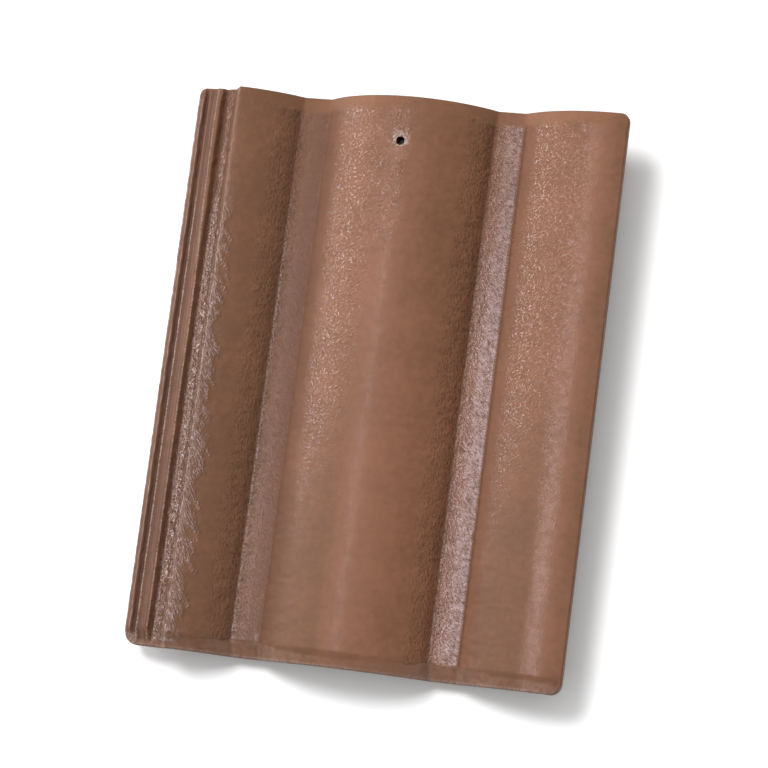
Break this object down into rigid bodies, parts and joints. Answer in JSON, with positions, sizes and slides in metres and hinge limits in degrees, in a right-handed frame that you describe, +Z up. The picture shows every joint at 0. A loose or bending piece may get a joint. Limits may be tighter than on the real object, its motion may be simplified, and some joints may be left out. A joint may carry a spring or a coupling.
{
  "type": "roof_tile",
  "caption": "Interlocking concrete roof tile with flat pans, low rounded rolls, a side lock, hooking nibs and a nail hole, brown semi-gloss coating",
  "frame": {"origin": "middle of the bounding box at floor level, the tile lying on its nibs and its first weather bar", "axes": "+X across the tile from the lock to the cover edge, +Y from the tail to the head, +Z up"},
  "size_m": [0.33, 0.4208, 0.0575],
  "materials": {
    "coated_concrete": "semi-gloss coating"
  },
  "bodies": {
    "root": {"tile": "coated_concrete"}
  },
  "joints": []
}
